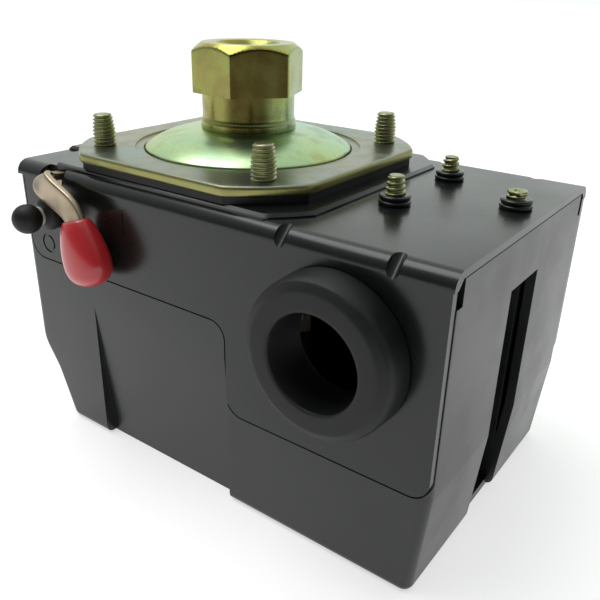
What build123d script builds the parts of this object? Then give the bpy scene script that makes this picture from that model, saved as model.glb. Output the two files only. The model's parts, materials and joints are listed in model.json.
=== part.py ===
"""Single-port pressure switch for an air compressor, standing on its cover with the port up.

Millimetres, +Z up. The origin is where the axis of the pressure port meets the flat face of the
cover that the switch stands on. +X runs along the housing to the wiring end, -Y is the lever side.
In service the switch is usually screwed on with the port down, so "up" here is "down" there.
"""
import os
from math import sqrt

from build123d import *

# ---- Driving dimensions -------------------------------------------------------------------
# Housing
LEFT_X = -41.8
RIGHT_X = 68.2
HALF_Y = 33.7
PLATE_TOP = 70.5
PLATE_T = 2.2
PLATE_SIDE = 64.4
PLATE_ROUND_R = 38.0
DIAPHRAGM_T = 1.4
PAD_RISE = 0.9
SHEET = 1.5
BEND_R = 3.0

# Heights that follow
PLATE_UNDER = PLATE_TOP - PLATE_T
PAD_TOP = PLATE_UNDER - DIAPHRAGM_T
DECK_TOP = PAD_TOP - PAD_RISE
DECK_UNDER = DECK_TOP - SHEET
PAD_UNDER = DECK_UNDER + PAD_RISE
BEND_END = DECK_TOP - BEND_R

# Side panels of the sheet-steel base
PANEL_LEFT = -39.5
PANEL_STEP_X = 21.8
PANEL_RIGHT = 68.0
PANEL_SHORT_Z = 43.5
PANEL_LONG_Z = 23.1

# Pressure end
BOLT_HALF = 22.9
BOLT_R = 2.5
BOLT_TIP = PLATE_TOP + 6.8
DOME_FOOT_R = 23.6
DOME_SPHERE_R = 58.0
DOME_T = 1.2
DOME_RISE = 4.8
BRIM_R = 25.6
NECK_R = 10.4
HEX_FLATS = 22.0
HEX_UNDER = PLATE_TOP + 11.6
HEX_TOP = PLATE_TOP + 22.1
HEX_TURN = 52.7
PORT_R = 5.75
PORT_DEPTH = 14.0
PISTON_R = 11.6
PISTON_HOLE_R = 12.0

# Wiring end
GROMMET_X = 47.3
GROMMET_Z = 46.5
GROMMET_R = 15.3
CABLE_R = 9.2
PANEL_HOLE_R = 12.6
BLOCK_SCREWS = [(43.0, -7.4), (43.0, 17.2)]
EARTH_SCREW = (62.4, 5.5)
COLLAR_R = 2.9
COLLAR_H = 2.0

# On/off lever and unloader outlet on the lever side
LEVER_X = -29.3
LEVER_Z = 62.9
LEVER_T = 1.8
LEVER_FACE_Y = -38.8
LEVER_W = 6.2
OUTLET_X = -30.3
OUTLET_Z = 55.7

# Mechanism
PIVOT_X = 22.0
PIVOT_Z = 57.0
PIN_R = 1.5
WEB_TOP = 60.3
WEB_T = 1.5
WEB_HALF = 11.0
RANGE_X = -21.0
DIFF_X = 15.2
CARRIER_X = 34.0
CARRIER_Z = 61.0
TERMINAL_Y = [-13.55, -1.25, 11.05, 23.35]
STANDOFF_Y = 21.5

COVER_WALL = 2.0
COVER_TOP = DECK_UNDER - 0.2

os.makedirs("parts", exist_ok=True)


def finish(builder, label, folder="parts"):
    """Name a finished piece and write it."""
    builder.part.label = label
    export_step(builder.part, f"{folder}/{label}.step")


def turned(points):
    """Solid of revolution about Z from its (radius, height) outline."""
    with BuildPart() as body:
        with BuildSketch(Plane.XZ):
            with BuildLine():
                Polyline(*points, close=True)
            make_face()
        revolve(axis=Axis.Z)
    return body.part


def screw(head_r, head_h, shank_r, shank_len, tip_len, tip_r):
    """Pan-head screw, head down, its seat at height 0 and its shank going up to a tapered end."""
    return turned([
        (0, -head_h), (head_r * 0.8, -head_h), (head_r, -head_h * 0.6), (head_r, 0),
        (shank_r, 0), (shank_r, shank_len - tip_len), (tip_r, shank_len), (0, shank_len),
    ])


def panel_outline(grow=0.0):
    """Side panel of the base: short at the lever end, deep where the cable entry is."""
    with BuildSketch() as outline:
        with BuildLine():
            Polyline(
                (PANEL_LEFT, BEND_END), (PANEL_LEFT, PANEL_SHORT_Z), (PANEL_STEP_X, PANEL_SHORT_Z),
                (PANEL_STEP_X, PANEL_LONG_Z), (PANEL_RIGHT, PANEL_LONG_Z), (PANEL_RIGHT, BEND_END),
                close=True,
            )
        make_face()
        fillet(vertices().sort_by(Axis.Y)[:4], radius=4.0)
        if grow:
            offset(amount=grow)
    return outline.sketch


def plate_outline(side, round_r):
    """Square blank whose corners are cut by a circle."""
    with BuildSketch() as blank:
        Circle(round_r)
        Rectangle(side, side, mode=Mode.INTERSECT)
    return blank.sketch


BOLT_POINTS = [(x, y) for x in (-BOLT_HALF, BOLT_HALF) for y in (-BOLT_HALF, BOLT_HALF)]

# ---- Base: one piece of black-painted sheet steel -----------------------------------------
GUSSET_X = [35.05, 57.5]
PAD_HALF_X = 36.0
PAD_HALF_Y = 31.6
PAD_ROUND_R = 43.3
PAD_HOLLOW_X = 31.2
PAD_HOLLOW_Y = 29.6
PAD_HOLLOW_R = 37.3
PAD_TAIL_HALF = 19.0
INNER_Y = HALF_Y - SHEET
LEG = 4.2
OFF_MARK = (-33.2, 47.6)
ON_MARK = (-6.0, 58.0)
SLOT_LOW = 60.3
SLOT_HIGH = 66.5
DENT_IN = 0.8
DENT_R = 1.3

with BuildPart() as base_frame:
    # The deck with its two bends, drawn as a shallow channel across the housing
    with BuildSketch(Plane.YZ.offset(LEFT_X)):
        with Locations((0, BEND_END)):
            Rectangle(2 * HALF_Y, 2 * BEND_R)
        fillet(vertices().group_by(Axis.Y)[-1], radius=BEND_R)
        with BuildLine():
            Polyline(
                (-INNER_Y, BEND_END - BEND_R), (-INNER_Y, DECK_UNDER - 1.5), (-INNER_Y + 1.5, DECK_UNDER),
                (INNER_Y - 1.5, DECK_UNDER), (INNER_Y, DECK_UNDER - 1.5), (INNER_Y, BEND_END - BEND_R),
                close=True,
            )
        make_face(mode=Mode.SUBTRACT)
        with Locations((0, BEND_END - BEND_R / 2 - 0.1)):
            Rectangle(2 * HALF_Y, BEND_R, mode=Mode.SUBTRACT)
    extrude(amount=RIGHT_X - LEFT_X)
    # Side panels
    with BuildSketch(Plane.XZ.offset(INNER_Y), Plane.XZ.offset(-HALF_Y)):
        add(panel_outline())
    extrude(amount=SHEET)
    # Raised seat of the diaphragm, running out to the lever end
    with BuildSketch(Plane.XY.offset(DECK_TOP - 0.2)):
        Circle(PAD_ROUND_R)
        Rectangle(2 * PAD_HALF_X, 2 * PAD_HALF_Y, mode=Mode.INTERSECT)
        with Locations((LEFT_X / 2, 0)):
            Rectangle(-LEFT_X, 2 * PAD_TAIL_HALF)
    extrude(amount=PAD_RISE + 0.2)
    chamfer(faces().sort_by(Axis.Z)[-1].edges(), length=0.6)
    with BuildSketch(Plane.XY.offset(DECK_UNDER)):
        Circle(PAD_HOLLOW_R)
        Rectangle(2 * PAD_HOLLOW_X, 2 * PAD_HOLLOW_Y, mode=Mode.INTERSECT)
    extrude(amount=PAD_RISE, mode=Mode.SUBTRACT)
    # Gussets pressed into the bends beside the cable entries
    for x in GUSSET_X:
        with BuildSketch(Plane.YZ.offset(x - LEG / 2)):
            for side in (-1, 1):
                with BuildLine():
                    Polyline(
                        (side * (INNER_Y + 0.4), DECK_UNDER - LEG),
                        (side * (INNER_Y + 0.4), DECK_UNDER + 0.4),
                        (side * (INNER_Y - LEG), DECK_UNDER + 0.4),
                        (side * (INNER_Y - LEG), DECK_UNDER),
                        (side * INNER_Y, DECK_UNDER - LEG),
                        close=True,
                    )
                make_face()
        extrude(amount=LEG)
    for x in GUSSET_X:
        for side in (-1, 1):
            with Locations(Location((x, side * (HALF_Y - DENT_IN), DECK_TOP - DENT_IN), (side * 45, 0, 0))):
                Cylinder(radius=DENT_R, height=9, mode=Mode.SUBTRACT)
    # Drawn collars that the small screws cut their thread in
    with BuildSketch(Plane.XY.offset(DECK_UNDER)):
        with Locations(*BLOCK_SCREWS, EARTH_SCREW):
            Circle(COLLAR_R)
    extrude(amount=SHEET + COLLAR_H)
    chamfer(faces().filter_by(Plane.XY).sort_by(Axis.Z)[-3:].edges(), length=0.3)
    # Holes for the piston, the flange screws, the small screws and the studs inside
    with BuildSketch(Plane.XY.offset(DECK_UNDER - 1)):
        Circle(PISTON_HOLE_R)
        with Locations(*BOLT_POINTS):
            Circle(BOLT_R + 0.2)
        with Locations(*BLOCK_SCREWS, EARTH_SCREW):
            Circle(2.05)
    extrude(amount=8, mode=Mode.SUBTRACT)
    # Cable entries on both sides
    with BuildSketch(Plane.XZ):
        with Locations((GROMMET_X, GROMMET_Z)):
            Circle(PANEL_HOLE_R)
    extrude(amount=HALF_Y + 1, both=True, mode=Mode.SUBTRACT)
    # Lever slot through the bend and hole for the unloader outlet, lever side only
    with BuildSketch(Plane.XZ.offset(HALF_Y - BEND_R + 0.2)):
        with Locations((LEVER_X, (SLOT_LOW + SLOT_HIGH) / 2)):
            RectangleRounded(8.4, SLOT_HIGH - SLOT_LOW, 2.4)
        with Locations((OUTLET_X, OUTLET_Z)):
            Circle(3.1)
    extrude(amount=BEND_R + 1, mode=Mode.SUBTRACT)
    # Position marks: a ring where the lever is off, a bar where it is on
    with BuildSketch(Plane.XZ.offset(HALF_Y - 0.25)):
        with Locations(OFF_MARK):
            Circle(2.3)
            Circle(1.75, mode=Mode.SUBTRACT)
        with Locations(ON_MARK):
            SlotOverall(4.8, 0.6, rotation=90)
    extrude(amount=1, mode=Mode.SUBTRACT)
finish(base_frame, "base_frame")

# ---- Pressure end: zinc-plated flange, dome and port, rubber diaphragm, piston ------------
with BuildPart() as flange_plate:
    with BuildSketch(Plane.XY.offset(PLATE_UNDER)):
        add(plate_outline(PLATE_SIDE, PLATE_ROUND_R))
    extrude(amount=PLATE_T)
    fillet(faces().sort_by(Axis.Z)[-1].edges(), radius=0.7)
    chamfer(faces().sort_by(Axis.Z)[0].edges(), length=0.25)
    with BuildSketch(Plane.XY.offset(PLATE_UNDER)):
        Circle(DOME_FOOT_R + 0.25)
        with Locations(*BOLT_POINTS):
            Circle(BOLT_R + 0.05)
    extrude(amount=PLATE_T, mode=Mode.SUBTRACT)
    with BuildSketch(Plane.XY.offset(PLATE_UNDER)):
        Circle(BRIM_R + 0.2)
    extrude(amount=1.15, mode=Mode.SUBTRACT)
    with BuildSketch(Plane.XY.offset(PLATE_TOP - 0.45)):
        Circle(BRIM_R + 0.1)
    extrude(amount=0.45, mode=Mode.SUBTRACT)
finish(flange_plate, "flange_plate")

SPHERE_Z = PLATE_TOP + DOME_RISE - DOME_SPHERE_R
DOME_HOLE_R = 10.0


def dome_height(radius, sphere_r):
    """Height of a dome surface above the rest plane at a distance from the port axis."""
    return SPHERE_Z + sqrt(sphere_r ** 2 - radius ** 2)


with BuildPart() as pressure_dome:
    inner_r = DOME_SPHERE_R - DOME_T
    wall_r = DOME_FOOT_R - DOME_T
    with BuildSketch(Plane.XZ):
        with BuildLine():
            ThreePointArc(
                (DOME_HOLE_R, dome_height(DOME_HOLE_R, DOME_SPHERE_R)),
                (17.0, dome_height(17.0, DOME_SPHERE_R)),
                (DOME_FOOT_R, dome_height(DOME_FOOT_R, DOME_SPHERE_R)),
            )
            Polyline(
                (DOME_FOOT_R, dome_height(DOME_FOOT_R, DOME_SPHERE_R)),
                (DOME_FOOT_R, PLATE_UNDER + 1.1),
                (BRIM_R, PLATE_UNDER + 1.1),
                (BRIM_R, PLATE_UNDER),
                (wall_r, PLATE_UNDER),
                (wall_r, dome_height(wall_r, inner_r)),
            )
            ThreePointArc(
                (wall_r, dome_height(wall_r, inner_r)),
                (16.0, dome_height(16.0, inner_r)),
                (DOME_HOLE_R, dome_height(DOME_HOLE_R, inner_r)),
            )
            Line(
                (DOME_HOLE_R, dome_height(DOME_HOLE_R, inner_r)),
                (DOME_HOLE_R, dome_height(DOME_HOLE_R, DOME_SPHERE_R)),
            )
        make_face()
    revolve(axis=Axis.Z)
finish(pressure_dome, "pressure_dome")

with BuildPart() as port_fitting:
    foot = dome_height(DOME_HOLE_R, DOME_SPHERE_R)
    with BuildSketch(Plane.XY.offset(HEX_UNDER)):
        RegularPolygon(HEX_FLATS / 2, 6, major_radius=False, rotation=HEX_TURN)
    extrude(amount=HEX_TOP - HEX_UNDER)
    corner_r = HEX_FLATS / sqrt(3)
    crown_r = NECK_R - 0.2
    # The turned crown takes the corners off the hexagon
    with BuildSketch(Plane.XZ):
        with BuildLine():
            Polyline(
                (crown_r, HEX_TOP), (corner_r + 0.4, HEX_TOP - 2.1), (corner_r + 0.4, HEX_TOP + 1),
                (crown_r, HEX_TOP + 1), close=True,
            )
        make_face()
    revolve(axis=Axis.Z, mode=Mode.SUBTRACT)
    with BuildSketch(Plane.XZ):
        with BuildLine():
            Polyline(
                (0, foot - 1.5), (DOME_HOLE_R - 0.05, foot - 1.5), (DOME_HOLE_R - 0.05, foot),
                (NECK_R + 0.35, foot), (NECK_R + 0.35, foot + 1.7), (NECK_R, foot + 2.9),
                (NECK_R, HEX_UNDER + 0.5), (0, HEX_UNDER + 0.5), close=True,
            )
        make_face()
    revolve(axis=Axis.Z)
    with BuildSketch(Plane.XZ):
        with BuildLine():
            Polyline(
                (0, HEX_TOP + 1), (PORT_R + 1.9, HEX_TOP + 1), (PORT_R + 1.1, HEX_TOP),
                (PORT_R, HEX_TOP - 1.2), (PORT_R, HEX_TOP - PORT_DEPTH), (3.0, HEX_TOP - PORT_DEPTH - 1.6),
                (3.0, foot - 2), (0, foot - 2), close=True,
            )
        make_face()
    revolve(axis=Axis.Z, mode=Mode.SUBTRACT)
finish(port_fitting, "port_fitting")

with BuildPart() as diaphragm:
    with BuildSketch(Plane.XY.offset(PAD_TOP)):
        add(plate_outline(PLATE_SIDE - 1.4, PLATE_ROUND_R - 0.7))
        with Locations(*BOLT_POINTS):
            Circle(BOLT_R + 0.2, mode=Mode.SUBTRACT)
    extrude(amount=DIAPHRAGM_T)
finish(diaphragm, "diaphragm")

flange_screw = screw(head_r=4.6, head_h=3.2, shank_r=BOLT_R, shank_len=BOLT_TIP - PAD_UNDER, tip_len=3.5,
                     tip_r=1.8)
with BuildPart() as flange_screws:
    with Locations(*[(x, y, PAD_UNDER) for x, y in BOLT_POINTS]):
        add(flange_screw)
    with BuildSketch(Plane.XY.offset(PAD_UNDER - 3.2)):
        with Locations(*BOLT_POINTS):
            RectangleRounded(5.4, 1.1, 0.5)
            RectangleRounded(1.1, 5.4, 0.5)
    extrude(amount=1.8, mode=Mode.SUBTRACT)
finish(flange_screws, "flange_screws")

NOSE_R = 4.0
NOSE_LOW = WEB_TOP + 0.12
NOSE_SPHERE_R = (NOSE_R ** 2 + 1.5 ** 2) / (2 * 1.5)
with BuildPart() as piston:
    with BuildSketch(Plane.XZ):
        with BuildLine():
            Polyline(
                (0, PAD_TOP - 0.1), (PISTON_R - 0.4, PAD_TOP - 0.1), (PISTON_R, PAD_TOP - 0.5),
                (PISTON_R, PAD_TOP - 2.7), (NOSE_R, PAD_TOP - 2.7), (NOSE_R, NOSE_LOW + 1.5),
            )
            ThreePointArc(
                (NOSE_R, NOSE_LOW + 1.5),
                (NOSE_R / 2, NOSE_LOW + NOSE_SPHERE_R - sqrt(NOSE_SPHERE_R ** 2 - NOSE_R ** 2 / 4)),
                (0, NOSE_LOW),
            )
            Line((0, NOSE_LOW), (0, PAD_TOP - 0.1))
        make_face()
    revolve(axis=Axis.Z)
finish(piston, "piston")

# ---- Small screws whose ends show on the deck ---------------------------------------------
BLOCK_HEAD_Z = 56.0
with BuildPart() as block_screws:
    for (x, y), tip in zip(BLOCK_SCREWS, (3.7, 3.0)):
        shank = DECK_TOP + COLLAR_H + tip - BLOCK_HEAD_Z
        long_screw = screw(head_r=3.0, head_h=2.4, shank_r=2.0, shank_len=shank,
                           tip_len=3.2, tip_r=0.9)
        with Locations((x, y, BLOCK_HEAD_Z)):
            add(long_screw)
finish(block_screws, "block_screws")

EARTH_SEAT = DECK_UNDER - 1.0
earth_shape = screw(head_r=3.2, head_h=2.6, shank_r=2.0, shank_len=DECK_TOP + COLLAR_H + 1.5 - EARTH_SEAT,
                    tip_len=0.5, tip_r=1.7)
with BuildPart() as earth_screw:
    with Locations((*EARTH_SCREW, EARTH_SEAT)):
        add(earth_shape)
finish(earth_screw, "earth_screw")

with BuildPart() as earth_washer:
    with BuildSketch(Plane.XY.offset(EARTH_SEAT)):
        with Locations(EARTH_SCREW):
            Circle(3.5)
            Circle(2.1, mode=Mode.SUBTRACT)
    extrude(amount=1.0)
finish(earth_washer, "earth_washer")

# ---- Cable grommets -----------------------------------------------------------------------
with BuildPart() as grommet_shape:
    with BuildSketch(Plane.XZ):
        with BuildLine():
            Polyline(
                (CABLE_R, 0), (CABLE_R, -8.6), (CABLE_R + 0.8, -8.8), (13.9, -8.8), (15.0, -7.9),
                (GROMMET_R, -SHEET), (PANEL_HOLE_R - 0.1, -SHEET), (PANEL_HOLE_R - 0.1, 0),
                (14.4, 0), (14.4, 1.4), (13.6, 2.0), (CABLE_R + 0.6, 2.0), (CABLE_R, 1.4), close=True,
            )
        make_face()
    revolve(axis=Axis.Z)

for name, side in (("cable_grommet_front", -1), ("cable_grommet_rear", 1)):
    seat = Plane(origin=(GROMMET_X, side * INNER_Y, GROMMET_Z), x_dir=(1, 0, 0), z_dir=(0, -side, 0))
    with BuildPart() as grommet:
        add(grommet_shape.part.moved(seat.location))
    finish(grommet, name)

# ---- On/off lever: cranked steel strip, dipped tip, shaft and cam --------------------------
STRIP_PATH = [(-24.5, 62.4), (-19.0, 60.2), (-15.8, 57.6), (-13.3, 50.0)]
DIP_TOP = (-15.7, 58.0)
DIP_END = (-11.4, 44.0)
LEVER_BACK_Y = LEVER_FACE_Y + LEVER_T
DIP_Y = -38.3
run = Vector(STRIP_PATH[0][0] - LEVER_X, STRIP_PATH[0][1] - LEVER_Z).normalized()
across = Vector(-run.Y, run.X)
TANG_W = 4.4
SHAFT_END_Y = -20.0
TANG_END = 32.4


def strip_side(sign, half):
    """Points down one edge of the strip, from the bend to its end inside the dipped tip."""
    start = Vector(LEVER_X, LEVER_Z) - run * (LEVER_T / 2)
    middle, shoulder, knee, low = [Vector(*point) for point in STRIP_PATH]
    return [
        start + across * (sign * TANG_W / 2), middle + across * (sign * half),
        shoulder + across * (sign * half),
        knee + (across + Vector(1, 0)).normalized() * (sign * half), low + Vector(sign * half, 0),
    ]


with BuildPart() as lever:
    with BuildSketch(Plane.XZ.offset(-LEVER_BACK_Y)):
        with BuildLine():
            upper = strip_side(1, LEVER_W / 2)
            lower = strip_side(-1, LEVER_W / 2)
            Polyline(*upper, *reversed(lower), close=True)
        make_face()
        fillet(vertices().sort_by(Axis.Y)[:2], radius=1.4)
    extrude(amount=LEVER_T)
    # Tang that runs in through the slot, square to the strip
    with BuildSketch(Plane.XZ.offset(TANG_END)):
        with Locations((LEVER_X, LEVER_Z)):
            Rectangle(LEVER_T, TANG_W, rotation=run.get_signed_angle(Vector(1, 0), Vector(0, 0, -1)))
    extrude(amount=-LEVER_BACK_Y - TANG_END + 0.1)
    with BuildSketch(Plane.XZ.offset(-SHAFT_END_Y)):
        with Locations((LEVER_X, LEVER_Z)):
            Circle(PIN_R)
    extrude(amount=TANG_END + SHAFT_END_Y + 0.1)
finish(lever, "lever")

# Depth, thickness and width of the dip, from its mouth to its end
DIP_SECTIONS = [
    (0, 5.0, 7.0), (4.0, 7.0, 10.0), (9.6, 8.4, 12.2), (12.4, 7.4, 10.8), (14.6, 3.4, 5.0),
]
with BuildPart() as lever_tip:
    down = Vector(DIP_END[0] - DIP_TOP[0], DIP_END[1] - DIP_TOP[1])
    dip_plane = Plane(origin=(DIP_TOP[0], DIP_Y, DIP_TOP[1]), x_dir=(0, -1, 0), z_dir=(down.X, 0, down.Y))
    for depth, thick, wide in DIP_SECTIONS:
        with BuildSketch(dip_plane.offset(depth)):
            Ellipse(thick / 2, wide / 2)
    loft()
    fillet(faces().sort_by(Axis((0, 0, 0), (down.X, 0, down.Y)))[-1].edges(), radius=1.2)
    # Its pocket is the strip's own shape
    add(lever.part, mode=Mode.SUBTRACT)
finish(lever_tip, "lever_tip")

CAM_Y = -20.5
with BuildPart() as lever_cam:
    with BuildSketch(Plane.XZ.offset(-CAM_Y)):
        with BuildLine():
            Polyline(
                (LEVER_X - 1.4, LEVER_Z - 1.0), (LEVER_X - 1.4, 57.0), (LEVER_X, 56.3),
                (LEVER_X + 1.4, 57.0), (LEVER_X + 1.4, LEVER_Z - 1.0), close=True,
            )
        make_face()
    extrude(amount=3.0)
    with BuildSketch(Plane.XZ.offset(-CAM_Y)):
        with Locations((LEVER_X, LEVER_Z)):
            Circle(PIN_R, mode=Mode.ADD)
    extrude(amount=3.0)
    add(lever.part, mode=Mode.SUBTRACT)
finish(lever_cam, "lever_cam")

with BuildPart() as lever_bearing:
    with BuildSketch(Plane.XZ.offset(27.8)):
        with Locations((LEVER_X, LEVER_Z - 0.9)):
            Rectangle(8.0, 5.0)
        with Locations((LEVER_X, LEVER_Z)):
            Circle(PIN_R + 0.06, mode=Mode.SUBTRACT)
    extrude(amount=2.6)
finish(lever_bearing, "lever_bearing")

# ---- Unloader valve under the lever: body with outlet, pin, spring, rubber cap ---------------
PIN_X = -31.0
PIN_Y = -20.5
VALVE_PIN_R = 1.25
VALVE_LOW = 46.0
VALVE_TOP = 50.5
SPRING_POCKET_Z = VALVE_LOW + 1.0
SPRING_POCKET_R = 2.7
PIN_TOP = 54.4
PIN_HEAD = 0.8
OUTLET_BORE_R = 1.0
NIPPLE_R = 2.1
with BuildPart() as unloader_body:
    with BuildSketch(Plane.XY.offset(VALVE_LOW)):
        with Locations((PIN_X, -23.0)):
            RectangleRounded(9.0, 12.0, 1.0)
    extrude(amount=VALVE_TOP - VALVE_LOW)
    with BuildSketch(Plane.XY.offset(VALVE_LOW + 4.0)):
        with Locations((OUTLET_X, (-INNER_Y - 25.0) / 2)):
            Rectangle(8.2, INNER_Y - 25.0)
    extrude(amount=OUTLET_Z + 3.5 - VALVE_LOW - 4.0)
    with BuildSketch(Plane.XZ.offset(INNER_Y)):
        with Locations((OUTLET_X, OUTLET_Z)):
            Circle(NIPPLE_R)
    extrude(amount=6.0)
    # Blow-off passage out through the nipple, and the bore and spring pocket of the pin
    with BuildSketch(Plane.XZ.offset(28.0)):
        with Locations((OUTLET_X, OUTLET_Z)):
            Circle(OUTLET_BORE_R)
    extrude(amount=12.0, mode=Mode.SUBTRACT)
    with BuildSketch(Plane.XY.offset(VALVE_LOW)):
        with Locations((PIN_X, PIN_Y)):
            Circle(VALVE_PIN_R + 0.08)
    extrude(amount=VALVE_TOP - VALVE_LOW, mode=Mode.SUBTRACT)
    with BuildSketch(Plane.XY.offset(SPRING_POCKET_Z)):
        with Locations((PIN_X, PIN_Y)):
            Circle(SPRING_POCKET_R)
    extrude(amount=VALVE_TOP - SPRING_POCKET_Z, mode=Mode.SUBTRACT)
finish(unloader_body, "unloader_body")

with BuildPart() as unloader_pin:
    with BuildSketch(Plane.XY.offset(VALVE_LOW - 1.5)):
        with Locations((PIN_X, PIN_Y)):
            Circle(VALVE_PIN_R)
    extrude(amount=PIN_TOP - VALVE_LOW + 1.5)
    with BuildSketch(Plane.XY.offset(PIN_TOP - PIN_HEAD)):
        with Locations((PIN_X, PIN_Y)):
            Circle(2.3)
    extrude(amount=PIN_HEAD)
finish(unloader_pin, "unloader_pin")

CAP_MOUTH = 0.3
CAP_BORE_DEEP = 5.0
CAP_COLLAR_R = 3.8
CAP_NECK_R = 2.8
CAP_BALL_R = 3.25
CAP_END = 9.8
CAP_NECK_END = CAP_END - CAP_BALL_R - sqrt(CAP_BALL_R ** 2 - CAP_NECK_R ** 2)
with BuildPart() as cap_shape:
    with BuildSketch(Plane.XZ):
        with BuildLine():
            l1 = Polyline(
                (0, CAP_BORE_DEEP), (NIPPLE_R + 0.05, CAP_BORE_DEEP), (NIPPLE_R + 0.05, CAP_MOUTH),
                (CAP_COLLAR_R, CAP_MOUTH), (CAP_COLLAR_R, 2.3), (CAP_NECK_R, 3.4),
                (CAP_NECK_R, CAP_NECK_END),
            )
            l2 = ThreePointArc(l1 @ 1, (CAP_BALL_R, CAP_END - CAP_BALL_R), (0, CAP_END))
            Line(l2 @ 1, l1 @ 0)
        make_face()
    revolve(axis=Axis.Z)

cap_plane = Plane(origin=(OUTLET_X, -HALF_Y, OUTLET_Z), x_dir=(1, 0, 0), z_dir=(0, -1, 0))
with BuildPart() as outlet_cap:
    add(cap_shape.part.moved(cap_plane.location))
finish(outlet_cap, "outlet_cap")

# ---- Rocker that the piston pushes, on a pin in two ears ------------------------------------
EAR_Y = 13.5
EAR_T = 1.5
with BuildPart() as pivot_bracket:
    with BuildSketch(Plane.XZ.offset(EAR_Y), Plane.XZ.offset(-EAR_Y - EAR_T)):
        with BuildLine():
            Polyline(
                (17.5, DECK_UNDER), (17.5, PIVOT_Z - 3.5), (26.0, PIVOT_Z - 3.5), (38.0, DECK_UNDER - 6.5),
                (38.0, DECK_UNDER), close=True,
            )
        make_face()
        with Locations((PIVOT_X, PIVOT_Z), (CARRIER_X, CARRIER_Z)):
            Circle(PIN_R, mode=Mode.SUBTRACT)
    extrude(amount=EAR_T)
    with BuildSketch(Plane.XY.offset(DECK_UNDER - EAR_T)):
        with Locations((36.9, 0)):
            Rectangle(2.2, 2 * (EAR_Y + EAR_T))
        with Locations((34.8, EAR_Y + EAR_T / 2), (34.8, -EAR_Y - EAR_T / 2)):
            Rectangle(6.4, EAR_T)
    extrude(amount=EAR_T)
finish(pivot_bracket, "pivot_bracket")

with BuildPart() as pivot_pin:
    with BuildSketch(Plane.XZ.offset(-EAR_Y - EAR_T - 0.8)):
        with Locations((PIVOT_X, PIVOT_Z)):
            Circle(PIN_R)
    extrude(amount=2 * (EAR_Y + EAR_T + 0.8))
finish(pivot_pin, "pivot_pin")

LUG_TOP = PIN_TOP + 0.2 + WEB_T
with BuildPart() as rocker:
    with BuildSketch(Plane.XY.offset(WEB_TOP - WEB_T)):
        with Locations((-1.75, 0)):
            Rectangle(63.5, 2 * WEB_HALF)
        with Locations((RANGE_X, 0), (DIFF_X, 0)):
            Circle(3.6, mode=Mode.SUBTRACT)
    extrude(amount=WEB_T)
    with BuildSketch(Plane.XZ.offset(WEB_HALF - WEB_T), Plane.XZ.offset(-WEB_HALF)):
        with BuildLine():
            Polyline(
                (-28.0, WEB_TOP), (-28.0, 57.5), (8.0, 55.0), (PIVOT_X, 54.0), (26.0, 55.0),
                (28.0, WEB_TOP),
                close=True,
            )
        make_face()
        with Locations((PIVOT_X, PIVOT_Z)):
            Circle(PIN_R + 0.06, mode=Mode.SUBTRACT)
    extrude(amount=WEB_T)
    # Stepped lug that reaches under the lever's cam and over the unloader pin
    with BuildSketch(Plane.YZ.offset(PIN_X - 2.5)):
        with BuildLine():
            Polyline(
                (-WEB_HALF + 0.5, WEB_TOP), (-WEB_HALF - WEB_T, WEB_TOP), (-WEB_HALF - WEB_T, LUG_TOP),
                (-23.3, LUG_TOP), (-23.3, LUG_TOP - WEB_T), (-WEB_HALF, LUG_TOP - WEB_T),
                (-WEB_HALF, WEB_TOP - WEB_T), (-WEB_HALF + 0.5, WEB_TOP - WEB_T), close=True,
            )
        make_face()
    extrude(amount=6.0)
finish(rocker, "rocker")

# ---- Range and differential springs on studs that hang from the deck -------------------------
WEB_UNDER = WEB_TOP - WEB_T


def spring_solid(wire_r, mean_r, low, high, turns):
    """Open coil spring about Z between two heights."""
    free = high - low - 2 * wire_r
    with BuildPart() as coil:
        with BuildLine() as path:
            Helix(pitch=free / turns, height=free, radius=mean_r, center=(0, 0, low + wire_r))
        with BuildSketch(Plane(origin=path.line @ 0, z_dir=path.line % 0)):
            Circle(wire_r)
        sweep(is_frenet=True)
    return coil.part


def stud_solid(radius, top, bottom, collar_r):
    """Plain stud hanging from the deck, with a shoulder under the sheet."""
    return turned([
        (0, bottom), (radius - 0.5, bottom), (radius, bottom + 0.5), (radius, top - 1.2),
        (collar_r, top - 1.2), (collar_r, top), (0, top),
    ])


def nut_solid(flats, bore_r, height):
    """Hexagon nut standing on height 0."""
    with BuildPart() as nut:
        with BuildSketch():
            RegularPolygon(flats / 2, 6, major_radius=False)
            Circle(bore_r, mode=Mode.SUBTRACT)
        extrude(amount=height)
        chamfer(faces().filter_by(Axis.Z).edges().filter_by(GeomType.LINE), length=0.4)
    return nut.part


def seat_solid(outer_r, bore_r, thick):
    """Dished spring seat: a washer with a spigot that centres the coil."""
    return turned([
        (bore_r, 0), (outer_r, 0), (outer_r, thick), (bore_r + 1.4, thick), (bore_r + 1.4, thick + 1.6),
        (bore_r, thick + 1.6),
    ])


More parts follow.
